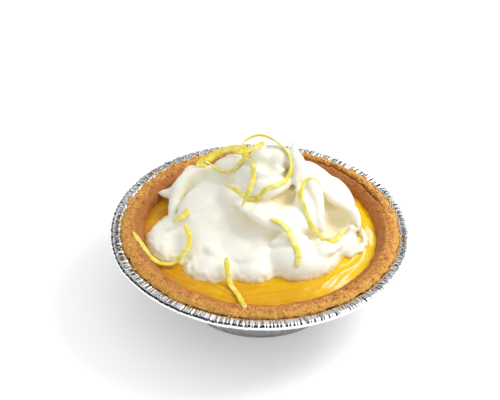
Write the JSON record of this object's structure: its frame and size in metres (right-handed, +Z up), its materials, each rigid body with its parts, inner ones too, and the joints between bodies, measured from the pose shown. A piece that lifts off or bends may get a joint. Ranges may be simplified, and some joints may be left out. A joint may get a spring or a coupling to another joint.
{
  "type": "lemon meringue pie",
  "caption": "Small lemon meringue pie in a pleated foil tin: crumb crust, glossy lemon filling, a swirled heap of soft meringue and curled zest.",
  "frame": {"origin": "middle of the underside of the tin's base", "axes": "+Z up, +X to the pie's right and +Y to its back, seen from the front"},
  "size_m": [0.1, 0.1, 0.0508],
  "materials": {
    "foil": "bright rolled foil, crimped and pleated",
    "crust": "baked biscuit crumb, matt and grainy",
    "lemon_filling": "wet glossy lemon custard, amber to bright yellow",
    "meringue": "soft whipped and unbrowned, with a low sheen",
    "zest": "fresh lemon peel, faintly oily"
  },
  "bodies": {
    "root": {"foil_tin": "foil", "crumb_crust": "crust", "lemon_filling": "lemon_filling", "meringue": "meringue", "zest_stub": "zest", "zest_left_curl": "zest", "zest_big_loop": "zest", "zest_drop": "zest", "zest_small_loop": "zest", "zest_top": "zest", "zest_tag": "zest", "zest_right_loop": "zest", "zest_middle": "zest", "zest_front": "zest"}
  },
  "joints": []
}
